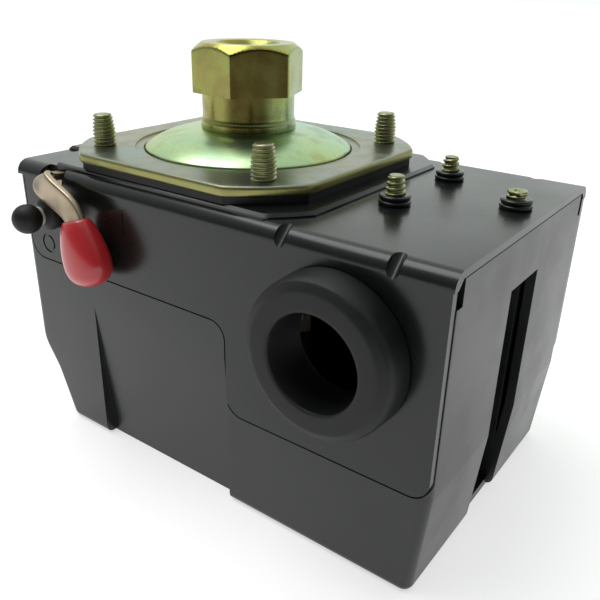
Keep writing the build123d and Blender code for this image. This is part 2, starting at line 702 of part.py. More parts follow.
def hung_spring(name, x, stud_r, stud_end, seat_z, seat_r, wire_r, coil_r, turns, flats):
    """A stud, the coil round it, and the seat and nut that set the coil's load."""
    collar_r = stud_r + 0.7
    nut_height = flats / 2
    stud_shape = stud_solid(stud_r, PAD_UNDER, stud_end, collar_r)
    with BuildPart() as stud:
        with Locations((x, 0, 0)):
            add(stud_shape)
    finish(stud, f"{name}_stud")
    seat_shape = seat_solid(seat_r, stud_r + 0.1, SEAT_T)
    with BuildPart() as seat:
        with Locations((x, 0, seat_z - SEAT_T)):
            add(seat_shape)
    finish(seat, f"{name}_spring_seat")
    nut_shape = nut_solid(flats, stud_r + 0.05, nut_height)
    with BuildPart() as nut:
        with Locations((x, 0, seat_z - SEAT_T - 0.1 - nut_height)):
            add(nut_shape)
    finish(nut, f"{name}_nut")
    coil_shape = spring_solid(wire_r, coil_r, seat_z + 0.05, WEB_UNDER - 0.05, turns)
    with BuildPart() as coil:
        with Locations((x, 0, 0)):
            add(coil_shape)
    finish(coil, f"{name}_spring")


SEAT_T = 1.2
hung_spring("range", x=RANGE_X, stud_r=2.5, stud_end=15.0, seat_z=28.0, seat_r=8.6, wire_r=1.1,
            coil_r=6.8, turns=7, flats=9.0)
hung_spring("differential", x=DIFF_X, stud_r=1.9, stud_end=30.0, seat_z=40.0, seat_r=5.2, wire_r=0.6,
            coil_r=4.2, turns=6, flats=7.0)

valve_coil = spring_solid(0.25, 2.05, SPRING_POCKET_Z + 0.02, PIN_TOP - PIN_HEAD - 0.02, 4)
with BuildPart() as unloader_spring:
    with Locations((PIN_X, PIN_Y, 0)):
        add(valve_coil)
finish(unloader_spring, "unloader_spring")

# ---- Contact carrier, its pin, and the two bridges it carries --------------------------------
CARRIER_T = 3.0
CONTACT_Z = 47.0
CARRIER_FACE = CARRIER_X + CARRIER_T / 2 - 0.5
BRIDGE_PAIRS = [(TERMINAL_Y[0] + TERMINAL_Y[1]) / 2, (TERMINAL_Y[2] + TERMINAL_Y[3]) / 2]
BRIDGE_SPAN = TERMINAL_Y[1] - TERMINAL_Y[0]
with BuildPart() as carrier_pin:
    with BuildSketch(Plane.XZ.offset(-EAR_Y - EAR_T - 0.8)):
        with Locations((CARRIER_X, CARRIER_Z)):
            Circle(PIN_R)
    extrude(amount=2 * (EAR_Y + EAR_T + 0.8))
finish(carrier_pin, "carrier_pin")

with BuildPart() as contact_carrier:
    with BuildSketch(Plane.YZ.offset(CARRIER_FACE - CARRIER_T)):
        with BuildLine():
            Polyline(
                (-12.5, CARRIER_Z - 1.0), (-12.5, 51.0), (-18.0, 49.5), (-18.0, CONTACT_Z - 4.0),
                (27.6, CONTACT_Z - 4.0), (27.6, 49.5), (12.5, 51.0), (12.5, CARRIER_Z - 1.0), close=True,
            )
        make_face()
        fillet(vertices(), radius=0.8)
    extrude(amount=CARRIER_T)
    with BuildSketch(Plane.XZ.offset(-12.5)):
        with Locations((CARRIER_X, CARRIER_Z)):
            Circle(2.4)
    extrude(amount=25.0)
    with BuildSketch(Plane.XZ.offset(-13.0)):
        with Locations((CARRIER_X, CARRIER_Z)):
            Circle(PIN_R + 0.06)
    extrude(amount=26.0, mode=Mode.SUBTRACT)
finish(contact_carrier, "contact_carrier")

BRIDGE_T = 0.8
with BuildPart() as contact_bridges:
    with BuildSketch(Plane.YZ.offset(CARRIER_FACE)):
        with Locations(*[(y, CONTACT_Z) for y in BRIDGE_PAIRS]):
            RectangleRounded(BRIDGE_SPAN + 5.0, 5.0, 1.2)
    extrude(amount=BRIDGE_T)
    with BuildSketch(Plane.YZ.offset(CARRIER_FACE + BRIDGE_T)):
        with Locations(*[(y, CONTACT_Z) for y in TERMINAL_Y]):
            Circle(1.7)
    extrude(amount=0.9)
finish(contact_bridges, "contact_bridges")

# ---- Terminal block with four terminals -------------------------------------------------------
BLOCK_LEFT = 38.6
BLOCK_RIGHT = 57.0
BLOCK_LOW = 51.0
BLOCK_MID_Y = (TERMINAL_Y[0] + TERMINAL_Y[3]) / 2
BLOCK_WIDE = 46.4
CLAMP_X = 49.5
BARRIER_Y = [TERMINAL_Y[0] - 4.05, BLOCK_SCREWS[0][1], (TERMINAL_Y[1] + TERMINAL_Y[2]) / 2,
             BLOCK_SCREWS[1][1], TERMINAL_Y[3] + 4.05]
with BuildPart() as terminal_block:
    with BuildSketch(Plane.XY.offset(BLOCK_LOW)):
        with Locations(((BLOCK_LEFT + BLOCK_RIGHT) / 2, BLOCK_MID_Y)):
            RectangleRounded(BLOCK_RIGHT - BLOCK_LEFT, BLOCK_WIDE, 1.0)
    extrude(amount=DECK_UNDER - BLOCK_LOW)
    with BuildSketch(Plane.XY.offset(BLOCK_LOW - 6.0)):
        for y in BARRIER_Y:
            with Locations((CLAMP_X + 1.2, y)):
                Rectangle(11.6, 1.2)
    extrude(amount=6.0)
    with BuildSketch(Plane.XY.offset(BLOCK_LOW)):
        with Locations(*BLOCK_SCREWS):
            Circle(3.2)
    extrude(amount=BLOCK_HEAD_Z - BLOCK_LOW, mode=Mode.SUBTRACT)
    with BuildSketch(Plane.XY.offset(BLOCK_LOW)):
        with Locations(*BLOCK_SCREWS):
            Circle(2.1)
    extrude(amount=DECK_UNDER - BLOCK_LOW, mode=Mode.SUBTRACT)
    with BuildSketch(Plane.XY.offset(BLOCK_LOW)):
        with Locations(*[(CLAMP_X, y) for y in TERMINAL_Y]):
            Circle(1.8)
    extrude(amount=9.0, mode=Mode.SUBTRACT)
finish(terminal_block, "terminal_block")

PLATE_T_BRASS = 1.2
TONGUE_X = CARRIER_FACE + BRIDGE_T + 0.9 + 0.1
for number, y in enumerate(TERMINAL_Y, start=1):
    with BuildPart() as terminal_plate:
        with BuildSketch(Plane.XY.offset(BLOCK_LOW - PLATE_T_BRASS)):
            with Locations(((TONGUE_X + 46.0) / 2, y)):
                Rectangle(46.0 - TONGUE_X, 5.0)
            with Locations((CLAMP_X, y)):
                RectangleRounded(8.0, 6.8, 0.8)
            with Locations((CLAMP_X, y)):
                Circle(1.85, mode=Mode.SUBTRACT)
        extrude(amount=PLATE_T_BRASS)
        with BuildSketch(Plane.YZ.offset(TONGUE_X)):
            with Locations((y, (BLOCK_LOW + CONTACT_Z - 2.6) / 2)):
                Rectangle(5.0, BLOCK_LOW - CONTACT_Z + 2.6)
        extrude(amount=1.0)
    finish(terminal_plate, f"terminal_plate_{number}")

CLAMP_T = 1.0
with BuildPart() as terminal_clamps:
    with BuildSketch(Plane.XY.offset(BLOCK_LOW - PLATE_T_BRASS - CLAMP_T)):
        with Locations(*[(CLAMP_X, y) for y in TERMINAL_Y]):
            RectangleRounded(6.6, 6.4, 0.6)
            Circle(1.85, mode=Mode.SUBTRACT)
    extrude(amount=CLAMP_T)
finish(terminal_clamps, "terminal_clamps")

terminal_screw = screw(head_r=3.0, head_h=2.4, shank_r=1.75, shank_len=9.4, tip_len=0.6, tip_r=1.3)
CLAMP_SEAT = BLOCK_LOW - PLATE_T_BRASS - CLAMP_T
with BuildPart() as terminal_screws:
    with Locations(*[(CLAMP_X, y, CLAMP_SEAT) for y in TERMINAL_Y]):
        add(terminal_screw)
    with BuildSketch(Plane.XY.offset(CLAMP_SEAT - 2.4)):
        with Locations(*[(CLAMP_X, y) for y in TERMINAL_Y]):
            RectangleRounded(4.2, 0.9, 0.4)
            RectangleRounded(0.9, 4.2, 0.4)
    extrude(amount=1.2, mode=Mode.SUBTRACT)
finish(terminal_screws, "terminal_screws")

# ---- Cover, and the two screws that hold it to standoffs under the deck -------------------------
STANDOFF_LOW = 14.2
COVER_SCREW_Y = [-STANDOFF_Y, STANDOFF_Y]
with BuildPart() as cover_standoffs:
    with BuildSketch(Plane.XY.offset(STANDOFF_LOW)):
        with Locations(*[(0, y) for y in COVER_SCREW_Y]):
            RegularPolygon(3.5, 6, major_radius=False)
    extrude(amount=PAD_UNDER - STANDOFF_LOW)
    with BuildSketch(Plane.XY.offset(STANDOFF_LOW)):
        with Locations(*[(0, y) for y in COVER_SCREW_Y]):
            Circle(2.05)
    extrude(amount=14.0, mode=Mode.SUBTRACT)
finish(cover_standoffs, "cover_standoffs")

LEFT_SHOULDER_Z = 19.6
LEFT_KNEE = (-37.2, 12.6)
LEFT_FOOT_X = -32.2
RIGHT_SHOULDER_Z = 22.5
RIGHT_FOOT_X = 66.2
GRIP_LEFT = -18.8
GRIP_RIGHT = 22.0
GRIP_TOP = 35.3
GRIP_DEPTH = 2.6
SEAM = 0.3
WINDOW_TOP = 54.3
WINDOW_LOW_Y = -7.1
WINDOW_HIGH_Y = 6.9
WINDOW_SILL_X = 65.0
WINDOW_RIB_X = 62.6
WINDOW_RIB = 1.6
FACE_IN = HALF_Y - SHEET - 0.25
CAVITY_Y = FACE_IN - COVER_WALL
SIDE_WALL_TOP = 59.5
CORNER_TOP = BEND_END - 0.4
BOSS_R = 5.2
BOSS_SUNK_R = 4.3
BOSS_SUNK_Z = 3.4


def cover_profile(inset):
    """End-to-end outline of the cover, its ends leaning in towards the face it stands on."""
    with BuildSketch() as outline:
        with BuildLine():
            Polyline(
                (LEFT_X + inset, COVER_TOP + inset), (LEFT_X + inset, LEFT_SHOULDER_Z),
                (LEFT_KNEE[0] + inset, LEFT_KNEE[1]), (LEFT_FOOT_X + inset, inset),
                (RIGHT_FOOT_X - inset, inset), (RIGHT_X - inset, RIGHT_SHOULDER_Z),
                (RIGHT_X - inset, COVER_TOP + inset), close=True,
            )
        make_face()
        fillet(vertices().sort_by(Axis.Y)[2:5], radius=8.0)
    return outline.sketch


with BuildPart() as cover:
    with BuildSketch(Plane.XZ.offset(-HALF_Y)):
        add(cover_profile(0.0))
    extrude(amount=2 * HALF_Y)
    # Rounded ends, then the rounded edge all round the foot
    end_edges = edges().filter_by(lambda e: abs(e.center().Y) > HALF_Y - 0.1).filter_by(
        lambda e: not -30 < e.center().X < 60)
    fillet(end_edges, radius=2.2)
    fillet(faces().sort_by(Axis.Z)[0].edges(), radius=2.0)
    # Grip hollows that deepen towards the face it stands on
    with BuildSketch(Plane.YZ.offset(GRIP_LEFT)):
        for side in (-1, 1):
            with BuildLine():
                Polyline(
                    (side * HALF_Y, GRIP_TOP), (side * (HALF_Y - GRIP_DEPTH), -0.01),
                    (side * (HALF_Y + 0.01), -0.01), close=True,
                )
            make_face()
    extrude(amount=GRIP_RIGHT - GRIP_LEFT, mode=Mode.SUBTRACT)
    # Cavity
    with BuildSketch(Plane.XZ.offset(-CAVITY_Y)):
        add(cover_profile(COVER_WALL))
    extrude(amount=2 * CAVITY_Y, mode=Mode.SUBTRACT)
    # Recesses in which the side panels of the base lie flush
    with BuildSketch(Plane.XZ.offset(FACE_IN), Plane.XZ.offset(-HALF_Y - 1)):
        add(panel_outline(SEAM))
        # The panel's end runs out flush with the end of the cover
        with Locations(((PANEL_RIGHT - 3.0 + RIGHT_X + 1.0) / 2, (PANEL_LONG_Z + 3.2 + BEND_END) / 2)):
            Rectangle(RIGHT_X + 4.0 - PANEL_RIGHT, BEND_END - PANEL_LONG_Z - 3.2)
    extrude(amount=HALF_Y + 1 - FACE_IN, mode=Mode.SUBTRACT)
    # Rim: the ends reach the deck, the corners stop under the bends, the sides stop lower still
    for low, left, right in (
        (CORNER_TOP, LEFT_X - 1, RIGHT_X + 1),
        (SIDE_WALL_TOP, PANEL_LEFT - SEAM, PANEL_RIGHT + SEAM),
    ):
        with BuildSketch(Plane.XY.offset(low)):
            with Locations(((left + right) / 2, 0)):
                Rectangle(right - left, 3 * HALF_Y)
                Rectangle(right - left, 2 * CAVITY_Y, mode=Mode.SUBTRACT)
        extrude(amount=10.0, mode=Mode.SUBTRACT)
    # Notches that slide over the grommets and over the lever and outlet
    with BuildSketch(Plane.XZ.offset(-HALF_Y)):
        with Locations((GROMMET_X, GROMMET_Z)):
            Circle(GROMMET_R + 0.9)
        with Locations((GROMMET_X, GROMMET_Z + 15)):
            Rectangle(2 * GROMMET_R + 1.8, 30)
    extrude(amount=2 * HALF_Y, mode=Mode.SUBTRACT)
    with BuildSketch(Plane.XZ.offset(CAVITY_Y - 0.1)):
        with Locations((LEVER_X - 0.5, 56.0)):
            RectangleRounded(13.0, 16.0, 2.0)
    extrude(amount=3, mode=Mode.SUBTRACT)
    # Ribs that line the wiring window
    with BuildSketch(Plane.YZ.offset(WINDOW_RIB_X)):
        for y in (WINDOW_LOW_Y - WINDOW_RIB / 2, WINDOW_HIGH_Y + WINDOW_RIB / 2):
            with Locations((y, (COVER_WALL + WINDOW_TOP) / 2 - 0.3)):
                Rectangle(WINDOW_RIB, WINDOW_TOP - COVER_WALL + 1.0)
    extrude(amount=RIGHT_FOOT_X - COVER_WALL / 2 - WINDOW_RIB_X)
    # Wiring window in the end wall, open to the foot
    sill = (WINDOW_SILL_X, -1.0, COVER_WALL)
    slot = (WINDOW_RIB_X - 0.5, COVER_WALL, WINDOW_TOP)
    for start, low, high in (sill, slot):
        with BuildSketch(Plane.YZ.offset(start)):
            with Locations(((WINDOW_LOW_Y + WINDOW_HIGH_Y) / 2, (low + high) / 2)):
                Rectangle(WINDOW_HIGH_Y - WINDOW_LOW_Y, high - low)
        extrude(amount=RIGHT_X + 1 - start, mode=Mode.SUBTRACT)
    # Bosses for the cover screws
    with BuildSketch(Plane.XY.offset(COVER_WALL / 2)):
        with Locations(*[(0, y) for y in COVER_SCREW_Y]):
            Circle(BOSS_R)
    extrude(amount=STANDOFF_LOW - 0.2 - COVER_WALL / 2)
    with BuildSketch(Plane.XY):
        with Locations(*[(0, y) for y in COVER_SCREW_Y]):
            Circle(BOSS_SUNK_R)
    extrude(amount=BOSS_SUNK_Z, mode=Mode.SUBTRACT)
    with BuildSketch(Plane.XY):
        with Locations(*[(0, y) for y in COVER_SCREW_Y]):
            Circle(2.2)
    extrude(amount=STANDOFF_LOW, mode=Mode.SUBTRACT)
finish(cover, "cover")

cover_screw = screw(head_r=3.9, head_h=2.6, shank_r=1.95, shank_len=19.0, tip_len=1.0, tip_r=1.4)
with BuildPart() as cover_screws:
    with Locations(*[(0, y, BOSS_SUNK_Z) for y in COVER_SCREW_Y]):
        add(cover_screw)
    with BuildSketch(Plane.XY.offset(BOSS_SUNK_Z - 2.6)):
        with Locations(*[(0, y) for y in COVER_SCREW_Y]):
            RectangleRounded(5.0, 1.0, 0.45)
            RectangleRounded(1.0, 5.0, 0.45)
    extrude(amount=1.5, mode=Mode.SUBTRACT)
finish(cover_screws, "cover_screws")
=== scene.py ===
"""Pressure switch for an air compressor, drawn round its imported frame. Metres, +Z up.

The sections follow the switch as it is put together: the sheet-steel base, the pressure end, the
screws, the cable entries, the lever and outlet, the mechanism inside, and last the cover.
"""
import json
import math

import bmesh
import bpy
import numpy as np
from mathutils import Matrix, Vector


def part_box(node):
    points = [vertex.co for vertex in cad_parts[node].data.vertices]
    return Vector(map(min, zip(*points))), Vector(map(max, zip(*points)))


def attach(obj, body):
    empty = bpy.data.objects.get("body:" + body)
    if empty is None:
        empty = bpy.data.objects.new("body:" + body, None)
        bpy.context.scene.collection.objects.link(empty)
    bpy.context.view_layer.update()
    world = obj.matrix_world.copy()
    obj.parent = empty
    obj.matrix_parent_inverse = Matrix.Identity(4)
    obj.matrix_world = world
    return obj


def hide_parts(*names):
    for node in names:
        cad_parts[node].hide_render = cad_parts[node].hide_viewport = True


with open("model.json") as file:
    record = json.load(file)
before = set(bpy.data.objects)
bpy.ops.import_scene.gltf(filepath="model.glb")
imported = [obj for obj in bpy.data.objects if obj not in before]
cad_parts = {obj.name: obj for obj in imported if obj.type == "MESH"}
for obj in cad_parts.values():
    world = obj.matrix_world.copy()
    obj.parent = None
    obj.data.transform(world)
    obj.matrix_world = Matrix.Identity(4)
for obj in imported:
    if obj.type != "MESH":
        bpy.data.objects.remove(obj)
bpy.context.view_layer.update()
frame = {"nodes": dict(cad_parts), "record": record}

# ---- Base ---------------------------------------------------------------------------------------
# One blank of 1.5 mm steel sheet, folded down along both sides, with a raised seat for the flange,
# gussets pressed into the bends and drawn collars for the small screws. It is stoved gloss black.
MM = 0.001
SHEET_EDGE = 0.12 * MM


class Field:
    """A number that varies over a surface. Sums, differences and products of fields add Math nodes."""

    def __init__(self, finish, socket):
        self.finish = finish
        self.socket = socket

    def _math(self, operation, *values):
        return self.finish.add("ShaderNodeMath", {"operation": operation}, dict(enumerate(values)))

    def __add__(self, other):
        return self._math("ADD", self, other)

    def __radd__(self, other):
        return self._math("ADD", other, self)

    def __rsub__(self, other):
        return self._math("SUBTRACT", other, self)

    def __mul__(self, other):
        return self._math("MULTIPLY", self, other)

    def __rmul__(self, other):
        return self._math("MULTIPLY", other, self)

    def size(self):
        """Its value without the sign."""
        return self._math("ABSOLUTE", self)

    def between(self, low, high):
        """0 below low, 1 above high, and a smooth step from one to the other."""
        return self.finish.add(
            "ShaderNodeMapRange", {"interpolation_type": "SMOOTHSTEP"},
            {"Value": self, "From Min": low, "From Max": high},
        )


class Finish:
    """A material in the making: one shader, and one method that adds any node in front of it."""

    # A Mix node has sockets of every type under the same names, so its colour ones go by number
    FIRST_COLOUR, SECOND_COLOUR, MIXED_COLOUR = 6, 7, 2

    def __init__(self, name, **constants):
        self.material = bpy.data.materials.new(name)
        self.material.use_nodes = True
        self.tree = self.material.node_tree
        self.tree.nodes.clear()
        output = self.tree.nodes.new("ShaderNodeOutputMaterial")
        self.shader = self.tree.nodes.new("ShaderNodeBsdfPrincipled")
        self.tree.links.new(self.shader.outputs["BSDF"], output.inputs["Surface"])
        self.place = self.add("ShaderNodeTexCoord", out="Object")
        self.set(**constants)

    def add(self, kind, settings=None, values=None, out=0):
        """Adds a node: its settings first, then the values or links of its sockets."""
        node = self.tree.nodes.new(kind)
        for key, value in (settings or {}).items():
            if key == "stops":
                ramp = node.color_ramp
                while len(ramp.elements) < len(value):
                    ramp.elements.new(1.0)
                for element, (position, colour) in zip(ramp.elements, value):
                    element.position = position
                    element.color = (*colour, 1.0)
            else:
                setattr(node, key, value)
        for key, value in (values or {}).items():
            self._feed(node.inputs[key], value)
        return Field(self, node.outputs[out])

    def _feed(self, socket, value):
        if isinstance(value, Field):
            self.tree.links.new(value.socket, socket)
        elif isinstance(value, tuple) and socket.type == "RGBA":
            socket.default_value = (*value, 1.0)
        else:
            socket.default_value = value

    def set(self, **values):
        """Sets or feeds sockets of the shader, named with underscores for blanks."""
        for key, value in values.items():
            self._feed(self.shader.inputs[key.replace("_", " ")], value)

    def noise(self, scale_per_metre, detail=2.0, roughness=0.5):
        """Cloudy noise from 0 to 1, so many lumps to the metre."""
        return self.add(
            "ShaderNodeTexNoise", {},
            {"Vector": self.place, "Scale": scale_per_metre, "Detail": detail, "Roughness": roughness},
        )

    def mix(self, factor, first, second):
        """First colour where the factor is 0, second where it is 1."""
        return self.add(
            "ShaderNodeMix", {"data_type": "RGBA"},
            {"Factor": factor, self.FIRST_COLOUR: first, self.SECOND_COLOUR: second}, out=self.MIXED_COLOUR,
        )

    def bump(self, height, distance, strength=1.0):
        """Normal of a surface raised by height times distance."""
        self.set(Normal=self.add(
            "ShaderNodeBump", {}, {"Height": height, "Distance": distance, "Strength": strength},
            out="Normal",
        ))

    def facing(self, way):
        """How squarely the surface faces a way, from -1 to 1."""
        normal = self.add("ShaderNodeTexCoord", out="Normal")
        return self.add(
            "ShaderNodeVectorMath", {"operation": "DOT_PRODUCT"}, {0: normal, 1: way}, out="Value",
        )


def lift(piece, name, material, body, stands_for):
    """Links a finished piece with its material and CAD body, and hides the node it stands for."""
    piece.name = name
    bpy.context.scene.collection.objects.link(piece)
    piece.data.materials.clear()
    piece.data.materials.append(material)
    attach(piece, body)
    if stands_for:
        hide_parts(stands_for)
    return piece


def broken_edges(piece, width, angle=32.0):
    """Breaks the sharp edges with a small radius, as tumbling or paint does."""
    bevel = piece.modifiers.new("broken edges", "BEVEL")
    bevel.width = width
    bevel.segments = 2
    bevel.limit_method = "ANGLE"
    bevel.angle_limit = math.radians(angle)
    bevel.harden_normals = True


def fair_copy(node):
    """The CAD node's own shape with its triangles joined and its flat faces made whole."""
    mesh = bpy.data.meshes.new(node)
    bm = bmesh.new()
    bm.from_mesh(frame["nodes"][node].data)
    bmesh.ops.remove_doubles(bm, verts=bm.verts, dist=2e-6)
    bmesh.ops.dissolve_limit(
        bm, angle_limit=math.radians(0.6), use_dissolve_boundaries=False, verts=bm.verts, edges=bm.edges,
    )
    bm.to_mesh(mesh)
    bm.free()
    if "custom_normal" in mesh.attributes:
        mesh.attributes.remove(mesh.attributes["custom_normal"])
    mesh.shade_smooth()
    mesh.set_sharp_from_angle(angle=math.radians(32))
    return bpy.data.objects.new(node, mesh)


black_paint = Finish("black stove paint", Specular_IOR_Level=0.45)
peel = black_paint.noise(260.0, detail=3.0)
grit = black_paint.noise(2600.0, detail=1.0).between(0.70, 0.78)
film = black_paint.noise(45.0, detail=4.0).between(0.35, 0.75)
black_paint.set(
    Base_Color=black_paint.mix(film * 0.5 + grit * 0.25, (0.006, 0.008, 0.007), (0.013, 0.016, 0.014)),
    Roughness=0.20 + film * 0.09 + grit * 0.12,
)
black_paint.bump(peel + grit * 0.03, 0.02 * MM, 0.6)

base = lift(
    fair_copy("base_frame"), "base_sheet", black_paint.material, "base", "base_frame",
)
broken_edges(base, SHEET_EDGE)

# ---- Pressure end -------------------------------------------------------------------------------
# A thick zinc-plated flange clamps a drawn dome over the rubber diaphragm; the turned port with its
# hexagon is brazed into the dome. The plating is yellow passivated, so it shimmers green and gold.
PLATE_LOW, PLATE_HIGH = (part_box("flange_plate")[i].z for i in (0, 1))
PLATE_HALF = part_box("flange_plate")[1].x
PLATE_ROUND = 38.0 * MM
RECESS_R = 25.7 * MM
RECESS_DEEP = 0.45 * MM
DOME_FOOT = 23.6 * MM
PLATE_T = PLATE_HIGH - PLATE_LOW
PLATE_EDGE_R = 0.75 * MM
ROUND_STEPS = 256


def rounded(points, radius, closed=False, steps=5):
    """Outline with each corner replaced by a short curve that starts and ends radius away from it.

    The curve is a parabola: the weights of its two ends and its corner are (1-t)^2, t^2 and 2t(1-t).
    """
    points = np.asarray(points, float)
    count = len(points)
    t = np.linspace(0.0, 1.0, steps)[:, None]
    parts = []
    for i in range(count):
        if not closed and i in (0, count - 1):
            parts.append(points[i:i + 1])
            continue
        before, corner, after = points[i - 1], points[i], points[(i + 1) % count]
        cut = [min(radius, 0.45 * np.linalg.norm(side - corner)) for side in (before, after)]
        start = corner + (before - corner) * cut[0] / np.linalg.norm(before - corner)
        end = corner + (after - corner) * cut[1] / np.linalg.norm(after - corner)
        parts.append((1 - t) ** 2 * start + 2 * t * (1 - t) * corner + t ** 2 * end)
    return np.vstack(parts)


def turned(profile, origin, axis="Z", steps=ROUND_STEPS):
    """Grid of points from a (radius, height) profile carried round an axis through the origin."""
    profile = np.asarray(profile, float)
    angle = np.linspace(0, 2 * np.pi, steps, endpoint=False)
    out, up = {
        "Z": (((1, 0, 0), (0, 1, 0)), (0, 0, 1)),
        "-Y": (((1, 0, 0), (0, 0, 1)), (0, -1, 0)),
        "Y": (((1, 0, 0), (0, 0, 1)), (0, 1, 0)),
    }[axis]
    ring = np.cos(angle)[:, None] * np.array(out[0]) + np.sin(angle)[:, None] * np.array(out[1])
    return (np.asarray(origin, float) + profile[:, 0, None, None] * ring[None]
            + profile[:, 1, None, None] * np.array(up, float))


def surfaced(grids, closed=False, angle=35.0):
    """Mesh object from grids of points: each row is a closed ring, and rings at a point become a pole."""
    vertices, faces, offset = [], [], 0
    for grid in grids:
        rows, columns = grid.shape[:2]
        number = np.arange(rows * columns).reshape(rows, columns) + offset
        low, high = (number, np.roll(number, -1, 0)) if closed else (number[:-1], number[1:])
        quads = np.stack([low, np.roll(low, -1, 1), np.roll(high, -1, 1), high], -1).reshape(-1, 4)
        vertices.append(grid.reshape(-1, 3))
        faces.append(quads)
        offset += rows * columns
    mesh = bpy.data.meshes.new("piece")
    mesh.from_pydata(np.vstack(vertices).tolist(), [], np.vstack(faces).tolist())
    bm = bmesh.new()
    bm.from_mesh(mesh)
    bmesh.ops.remove_doubles(bm, verts=bm.verts, dist=1e-7)
    bmesh.ops.recalc_face_normals(bm, faces=bm.faces)
    bm.to_mesh(mesh)
    bm.free()
    mesh.shade_smooth()
    mesh.set_sharp_from_angle(angle=math.radians(angle))
    return bpy.data.objects.new("piece", mesh)


def passivated(name, tints, side_sheen_tint, patch_scale, roughness, painted_shade=None):
    """Yellow passivated zinc: a cool ground, drifting bands of colour, and a warmer tint on its upright
    sides that is painted sheen, the colour the film shows at a slant.

    The last argument, when given, is a way and a colour for painted shade: faces turned that way are
    darkened towards the colour, as where they face the dim front of the room.
    """
    zinc = Finish(name, Metallic=1.0)
    drift = zinc.noise(patch_scale, detail=3.0, roughness=0.55)
    bands = zinc.add("ShaderNodeValToRGB", {"stops": tints}, {"Fac": drift})
    # Painted sheen: the upright sides take the warmer tint that the passivate film shows at a slant.
    side_sheen_mask = 1.0 - zinc.facing((0, 0, 1)).size().between(0.35, 0.8)
    speckle = zinc.noise(3200.0, detail=1.0)
    blotch = zinc.noise(170.0, detail=4.0, roughness=0.65).between(0.45, 0.7)
    colour = zinc.mix(side_sheen_mask * 0.6, bands, side_sheen_tint)
    colour = zinc.mix(blotch * 0.30, colour, (0.27, 0.23, 0.10))
    # Painted shade: the faces that turn the given way are darkened, with a little mottle in how much.
    if painted_shade:
        way, dark = painted_shade
        shade_mottle = zinc.noise(240.0, detail=3.0)
        colour = zinc.mix(zinc.facing(way).between(0.84, 0.97) * (0.74 + shade_mottle * 0.3), colour, dark)
    zinc.set(
        Base_Color=zinc.mix(speckle.between(0.60, 0.72) * 0.3, colour, (0.14, 0.14, 0.09)),
        Roughness=roughness + blotch * 0.10 + speckle * 0.05,
    )
    zinc.bump(speckle * 0.5 + zinc.noise(900.0, detail=2.0) * 0.5, 0.012 * MM, 0.5)
    return zinc


PLATE_TINTS = (
    (0.30, (0.17, 0.24, 0.20)), (0.45, (0.22, 0.24, 0.19)),
    (0.56, (0.26, 0.26, 0.19)), (0.70, (0.24, 0.20, 0.10)),
)
plate_zinc = passivated("passivated flange", PLATE_TINTS, (0.33, 0.31, 0.05), 22.0, 0.30)


def plate_outline(angle, half, round_r, softness):
    """Distance from the centre to the edge of a square whose corners a circle cuts, smoothly joined."""
    straight = half / np.maximum(np.abs(np.cos(angle)), np.abs(np.sin(angle)))
    gap = straight - round_r
    return 0.5 * (straight + round_r - np.sqrt(gap ** 2 + softness ** 2))


angle = np.linspace(0, 2 * np.pi, 4 * ROUND_STEPS, endpoint=False)
edge = plate_outline(angle, PLATE_HALF, PLATE_ROUND, 0.5 * MM)
ring = np.stack([np.cos(angle), np.sin(angle), 0 * angle], -1)
# (how far in from the outline, height) up the rim, then (radius, height) across the recess and hole
RIM_IN = 3.0 * MM
HOLE_R = DOME_FOOT + 0.3 * MM
rim = rounded([(RIM_IN, 0.0), (0.0, 0.0), (0.0, PLATE_T), (RIM_IN, PLATE_T)], PLATE_EDGE_R)
hole = rounded([(RECESS_R + 2.0 * MM, PLATE_T), (RECESS_R, PLATE_T), (RECESS_R, PLATE_T - RECESS_DEEP),
                (HOLE_R, PLATE_T - RECESS_DEEP), (HOLE_R, 0.0)], 0.18 * MM)
rows = [ring * (edge - inset)[:, None] + (0, 0, PLATE_LOW + height) for inset, height in rim]
rows += [ring * radius + (0, 0, PLATE_LOW + height) for radius, height in hole]
plate = surfaced([np.stack(rows)], closed=True)
lift(plate, "flange", plate_zinc.material, "base", "flange_plate")

DOME_TINTS = (
    (0.30, (0.21, 0.40, 0.32)), (0.45, (0.32, 0.50, 0.32)),
    (0.56, (0.40, 0.52, 0.24)), (0.70, (0.34, 0.32, 0.14)),
)
dome_zinc = passivated("passivated dome", DOME_TINTS, (0.30, 0.27, 0.08), 26.0, 0.26)
DOME_LOW, DOME_HIGH = (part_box("pressure_dome")[i].z for i in (0, 1))
DOME_SPHERE = 58.0 * MM
DOME_HOLE = 10.0 * MM
DOME_BRIM = 25.4 * MM
DOME_BRIM_T = 1.0 * MM
DOME_DROP = math.sqrt(DOME_SPHERE ** 2 - DOME_HOLE ** 2) - math.sqrt(DOME_SPHERE ** 2 - DOME_FOOT ** 2)
across = np.linspace(DOME_HOLE, DOME_FOOT - 0.2 * MM, 48)
# The press leaves the middle flatter than a sphere and rounds the shoulder over
outward = (across - DOME_HOLE) / (DOME_FOOT - DOME_HOLE)
crown = np.stack([across, DOME_HIGH - DOME_DROP * (0.30 * outward + 0.70 * outward ** 2.8)], -1)
foot_z = crown[-1, 1]
brim_top = PLATE_LOW + DOME_BRIM_T
skirt = rounded([crown[-2], (DOME_FOOT, foot_z - 0.15 * MM), (DOME_FOOT, brim_top), (DOME_BRIM, brim_top),
                 (DOME_BRIM, DOME_LOW), (22.5 * MM, DOME_LOW)], 0.3 * MM)[1:]
under = np.stack([across[::-1] - 1.0 * MM, crown[::-1, 1] - 1.1 * MM], -1)
dome = surfaced([turned(np.vstack([crown[:-1], skirt, under]), (0, 0, 0))], closed=True)
lift(dome, "dome", dome_zinc.material, "base", "pressure_dome")

